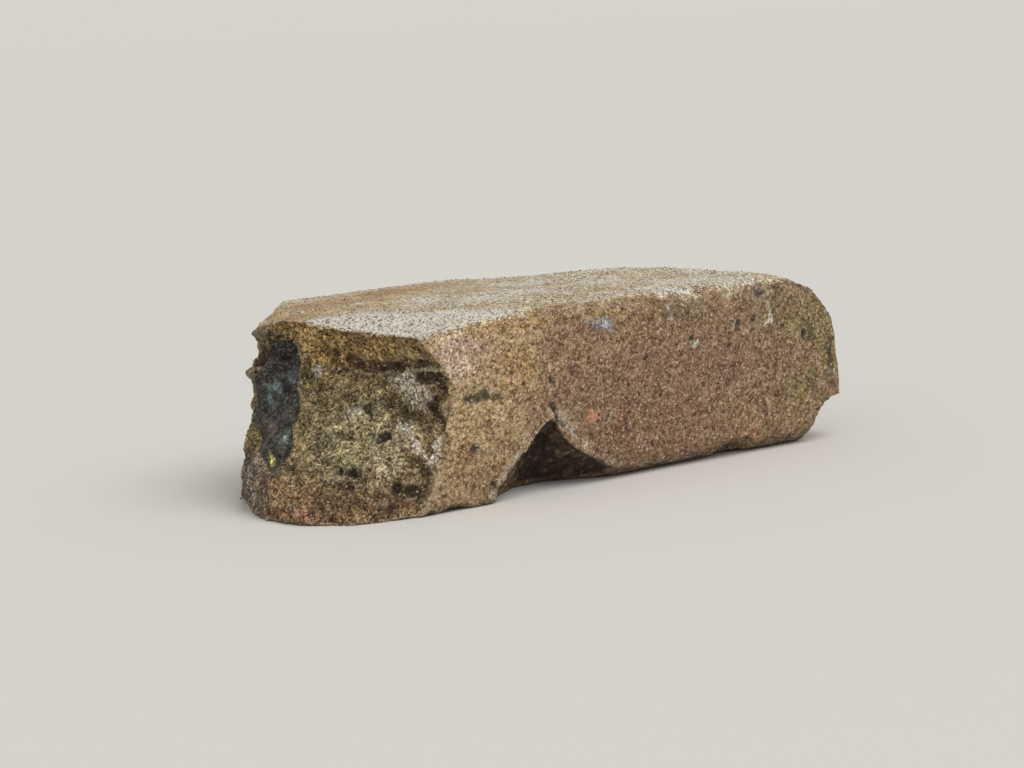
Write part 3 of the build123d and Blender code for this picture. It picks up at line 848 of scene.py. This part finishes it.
# Sand-faced fired clay, hand pressed in a sanded mould, weathered and damp on top. The eye sees a
# matt body full of light and dark sand grains and dark pores, a damp top whose wet grains glint,
# the glints painted as white grains, and a broken end that is rougher and darker, with a patch of
# dark glassy slag, its glints painted as grey grains.
def weatheredSandFacedClay():
    material = newMaterial("weatheredSandFacedClay")
    tree = material.node_tree
    place = addNode(tree, "TexCoord").outputs["Object"]
    colour = addNode(tree, "Attribute", attribute_name="clayTint").outputs["Color"]
    zone = {name: addNode(tree, "Attribute", attribute_name=name).outputs["Fac"]
            for name in ("fracture", "chip", "shadedHollow", "litCrest", "slag", "top", "wetAndGlint")}

    # sand grains, each with three random numbers
    straySize, strayReach = clayGrains["stray"]
    stray = addNode(tree, "TexNoise", {"Vector": place, "Scale": perMetre(straySize), "Detail": 1.0})
    uneven = addNode(tree, "VectorMath", {0: stray.outputs["Color"], 1: (strayReach * mm,) * 3, 2: place},
                     operation="MULTIPLY_ADD").outputs[0]
    sand = addNode(tree, "TexVoronoi", {"Vector": uneven, "Scale": perMetre(clayGrains["sand"])})
    sandNumber = addNode(tree, "SeparateColor", {"Color": sand.outputs["Color"]}).outputs
    grit = addNode(tree, "TexVoronoi", {"Vector": uneven, "Scale": perMetre(clayGrains["grit"])})
    gritNumber = addNode(tree, "SeparateColor", {"Color": grit.outputs["Color"]}).outputs
    clots = addNode(tree, "TexNoise", {"Vector": place, "Scale": perMetre(clayGrains["clots"]),
                                       "Detail": 5.0, "Roughness": 0.65}).outputs["Fac"]

    # light and dark grains, lighter where wet as painted sheen
    share = clayGrains["shares"]
    light = addNode(tree, "Math", {0: sandNumber[0], 1: share["sand"]}, operation="MULTIPLY").outputs[0]
    for value, name in ((gritNumber[0], "grit"), (clots, "clots"), (zone["wetAndGlint"], "wetAndGlint")):
        light = addNode(tree, "Math", {0: value, 1: share[name], 2: light},
                        operation="MULTIPLY_ADD").outputs[0]
    skinGrains = addNode(tree, "ValToRGB", {"Fac": light}, stops=clayGrains["skinStops"]).outputs["Color"]
    tornGrains = addNode(tree, "ValToRGB", {"Fac": light}, stops=clayGrains["tornStops"]).outputs["Color"]
    speckle = addNode(tree, "Mix", {0: zone["fracture"], 6: skinGrains, 7: tornGrains},
                      data_type="RGBA").outputs[2]
    colour = addNode(tree, "Mix", {0: 1.0, 6: colour, 7: speckle},
                     data_type="RGBA", blend_type="MULTIPLY").outputs[2]
    hue = addNode(tree, "ValToRGB", {"Fac": gritNumber[2]}, stops=clayGrains["hueStops"]).outputs["Color"]
    colour = addNode(tree, "Mix", {0: 0.22, 6: colour, 7: hue},
                     data_type="RGBA", blend_type="MULTIPLY").outputs[2]

    # hollows hold dark dirt, crests are rubbed pale
    # painted shade in the hollows, in the pore colour, and painted highlights on the crests, in cream
    for name, most, shade in (("shadedHollow", 0.62, "pore"), ("litCrest", 0.26, "cream")):
        amount = addNode(tree, "Math", {0: zone[name], 1: most}, operation="MULTIPLY").outputs[0]
        colour = addNode(tree, "Mix", {0: amount, 6: colour, 7: linear(clayColours[shade])},
                         data_type="RGBA").outputs[2]

    # dark pores, where a spot's random number is high enough to give it a radius
    pore = addNode(tree, "TexVoronoi", {"Vector": uneven, "Scale": perMetre(clayGrains["poresApart"])})
    poreNumber = addNode(tree, "SeparateColor", {"Color": pore.outputs["Color"]}).outputs[0]
    poreSize = addNode(tree, "MapRange", {"Value": poreNumber, "From Min": 0.45, "To Min": 0.001,
                                          "To Max": 0.27}).outputs["Result"]
    poreEdge = addNode(tree, "Math", {0: poreSize, 1: 0.35}, operation="MULTIPLY").outputs[0]
    poreShare = addNode(tree, "MapRange", {"Value": pore.outputs["Distance"], "From Min": poreSize,
                                           "From Max": poreEdge},
                        interpolation_type="SMOOTHSTEP").outputs["Result"]
    poreDark = addNode(tree, "Math", {0: poreShare, 1: 0.78}, operation="MULTIPLY").outputs[0]
    colour = addNode(tree, "Mix", {0: poreDark, 6: colour, 7: linear(clayColours["pore"])},
                     data_type="RGBA").outputs[2]

    # a few cream and brick-red grains, but not in the chip and the slag
    dark = addNode(tree, "Math", {0: zone["chip"], 1: zone["slag"]}, operation="MAXIMUM").outputs[0]
    few = ((sandNumber[2], 0.965, 0.7, "cream"), (gritNumber[1], 0.95, 0.35, "redGrain"))
    for number, limit, most, shade in few:
        chosen = addNode(tree, "Math", {0: number, 1: limit}, operation="GREATER_THAN").outputs[0]
        here = addNode(tree, "MapRange", {"Value": dark, "To Min": most, "To Max": 0.0}).outputs["Result"]
        amount = addNode(tree, "Math", {0: chosen, 1: here}, operation="MULTIPLY").outputs[0]
        colour = addNode(tree, "Mix", {0: amount, 6: colour, 7: linear(clayColours[shade])},
                         data_type="RGBA").outputs[2]

    # painted glints: white grains on the wet top and grey ones in the slag, the more the wetter or deeper in
    # it
    for name, least, most, shade in (("wetAndGlint", 0.38, 0.9, "glintGrain"), ("slag", 0.75, 0.6, "slagGlint")):
        limit = addNode(tree, "MapRange", {"Value": zone[name], "To Min": 1.0,
                                           "To Max": least}).outputs["Result"]
        chosen = addNode(tree, "Math", {0: sandNumber[1], 1: limit}, operation="GREATER_THAN").outputs[0]
        amount = addNode(tree, "Math", {0: chosen, 1: most}, operation="MULTIPLY").outputs[0]
        colour = addNode(tree, "Mix", {0: amount, 6: colour, 7: linear(clayColours[shade])},
                         data_type="RGBA").outputs[2]

    # matt clay, satin where it is damp or slag, and some grains smoother than the rest
    damp = addNode(tree, "Math", {0: zone["top"], 1: zone["slag"]}, operation="MAXIMUM").outputs[0]
    roughness = addNode(tree, "MapRange", {"Value": damp, "To Min": clayGrains["roughness"]["dry"],
                                           "To Max": clayGrains["roughness"]["damp"]}).outputs["Result"]
    grainGloss = addNode(tree, "Math", {0: sandNumber[2], 1: -0.16, 2: roughness},
                         operation="MULTIPLY_ADD").outputs[0]

    # relief under 1 mm: grains and grit stand proud, pores go in, deeper on the fracture and on top
    heights = sandNumber[0]
    parts = ((sand.outputs["Distance"], -0.6), (gritNumber[1], 0.9), (clots, 2.4), (poreShare, -2.5))
    for value, high in parts:
        heights = addNode(tree, "Math", {0: value, 1: high, 2: heights}, operation="MULTIPLY_ADD").outputs[0]
    deep = addNode(tree, "Math", {0: zone["fracture"], 1: zone["wetAndGlint"]}, operation="MAXIMUM").outputs[0]
    strength = addNode(tree, "MapRange", {"Value": deep, "To Min": 0.45, "To Max": 1.0}).outputs["Result"]
    bump = addNode(tree, "Bump", {"Height": heights, "Strength": strength, "Distance": 0.4 * mm})

    shader = addNode(tree, "BsdfPrincipled", {"Base Color": colour, "Roughness": grainGloss,
                                              "Normal": bump.outputs["Normal"], "IOR": 1.5})
    addNode(tree, "OutputMaterial", {"Surface": shader.outputs["BSDF"]})
    return material


# Quartz sand, washed and partly wet: dark, tan, cream or white grains, the white ones painted glints, all
# smooth enough to glint.
def washedQuartzSand():
    material = newMaterial("washedQuartzSand")
    tree = material.node_tree
    paleness = addNode(tree, "Attribute", attribute_name="paleness").outputs["Fac"]
    shades = ((0.0, "#3a2c20"), (0.3, "#6b543a"), (0.55, "#a58d67"), (0.72, "#ddd2ba"), (0.86, "#fbf8f0"))
    stops = [(place, linear(shade)) for place, shade in shades]
    colour = addNode(tree, "ValToRGB", {"Fac": paleness}, stops=stops)
    shader = addNode(tree, "BsdfPrincipled", {"Base Color": colour.outputs["Color"], "Roughness": 0.18,
                                              "IOR": 1.54})
    addNode(tree, "OutputMaterial", {"Surface": shader.outputs["BSDF"]})
    return material


for piece, material in ((brokenBrick, weatheredSandFacedClay()), (strewn, washedQuartzSand())):
    piece.data.materials.clear()
    piece.data.materials.append(material)
    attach(piece, "root")
    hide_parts("clay_brick")
print("clay and sand: coloured")


studio = {
    "floorRings": (1.0, 6.0, 40.0), "floorCorners": 96, "floorColour": "#e4e1dc",   # the rings in metres
    "cameraPlace": (-456.17, -603.19, 135.11), "aim": (2.0, 0.0, 24.5), "roll": -2.908, "lens": 88.0,
    "worldColour": "#eceae6", "worldStrength": 0.55, "backdropColour": "#d6d3cc",
    # broad soft lights: the way to each, its strength, and how wide it spreads in degrees
    "lights": [("skyLight", (0.25, -0.5, 0.95), 1.35, 50), ("leftFill", (-0.8, -0.5, 0.4), 0.3, 60)],
}


# The floor is a disc: rings of radius r at each angle, (r cos a, r sin a, 0).
def paleFloor():
    corners = studio["floorCorners"]
    angles = np.linspace(0, 2 * np.pi, corners + 1)[:-1]
    ring = np.stack([np.cos(angles), np.sin(angles), np.zeros(corners)], axis=1)
    points = np.concatenate([np.zeros((1, 3)), *(radius * ring for radius in studio["floorRings"])])
    here, after = np.arange(corners), (np.arange(corners) + 1) % corners
    fan = np.stack([np.zeros(corners, int), 1 + here, 1 + after], axis=1)
    square = np.stack([here, here + corners, after + corners, after], axis=1) + 1
    bands = np.concatenate([square, square + corners])
    mesh = bpy.data.meshes.new("paleFloor")
    mesh.from_pydata(points.tolist(), [], fan.tolist() + bands.tolist())
    material = bpy.data.materials.new("mattPaper")      # plain matt paper, no gloss
    material.use_nodes = True
    shader = material.node_tree.nodes["Principled BSDF"]
    shader.inputs["Base Color"].default_value = linear(studio["floorColour"])
    shader.inputs["Roughness"].default_value = 0.95
    mesh.materials.append(material)
    return newObject("paleFloor", mesh)


# Two broad suns and an even world, which the camera sees as the backdrop's colour.
def softStudioLight():
    for name, way, strength, spread in studio["lights"]:
        lamp = bpy.data.lights.new(name, "SUN")
        lamp.energy, lamp.angle = strength, math.radians(spread)
        newObject(name, lamp).rotation_euler = Vector(way).to_track_quat("Z", "Y").to_euler()
    world = bpy.data.worlds.new("softRoom")
    world.use_nodes = True
    tree = world.node_tree
    tree.nodes.clear()
    room = addNode(tree, "Background", {"Color": linear(studio["worldColour"]),
                                        "Strength": studio["worldStrength"]})
    backdrop = addNode(tree, "Background", {"Color": linear(studio["backdropColour"]), "Strength": 1.0})
    seen = addNode(tree, "LightPath").outputs["Is Camera Ray"]
    both = addNode(tree, "MixShader", {0: seen, 1: room.outputs[0], 2: backdrop.outputs[0]})
    addNode(tree, "OutputWorld", {"Surface": both.outputs[0]})
    bpy.context.scene.world = world


# The camera looks from its place to the aim, rolled as the photo shows the brick.
def photoCamera():
    data = bpy.data.cameras.new("photoCamera")
    data.lens, data.sensor_width = studio["lens"], 36.0
    data.clip_start, data.clip_end = 0.01, 100.0
    camera = newObject("photoCamera", data)
    camera.location = Vector(studio["cameraPlace"]) * mm
    forward = (Vector(studio["aim"]) * mm - camera.location).normalized()
    level = forward.to_track_quat("-Z", "Y").to_matrix()
    tilt = Matrix.Rotation(math.radians(studio["roll"]), 3, "Z")
    camera.rotation_euler = (level @ tilt).to_euler()
    bpy.context.scene.camera = camera


paleFloor()
softStudioLight()
photoCamera()
bpy.context.scene.view_settings.view_transform = "Standard"
print("studio: lit")
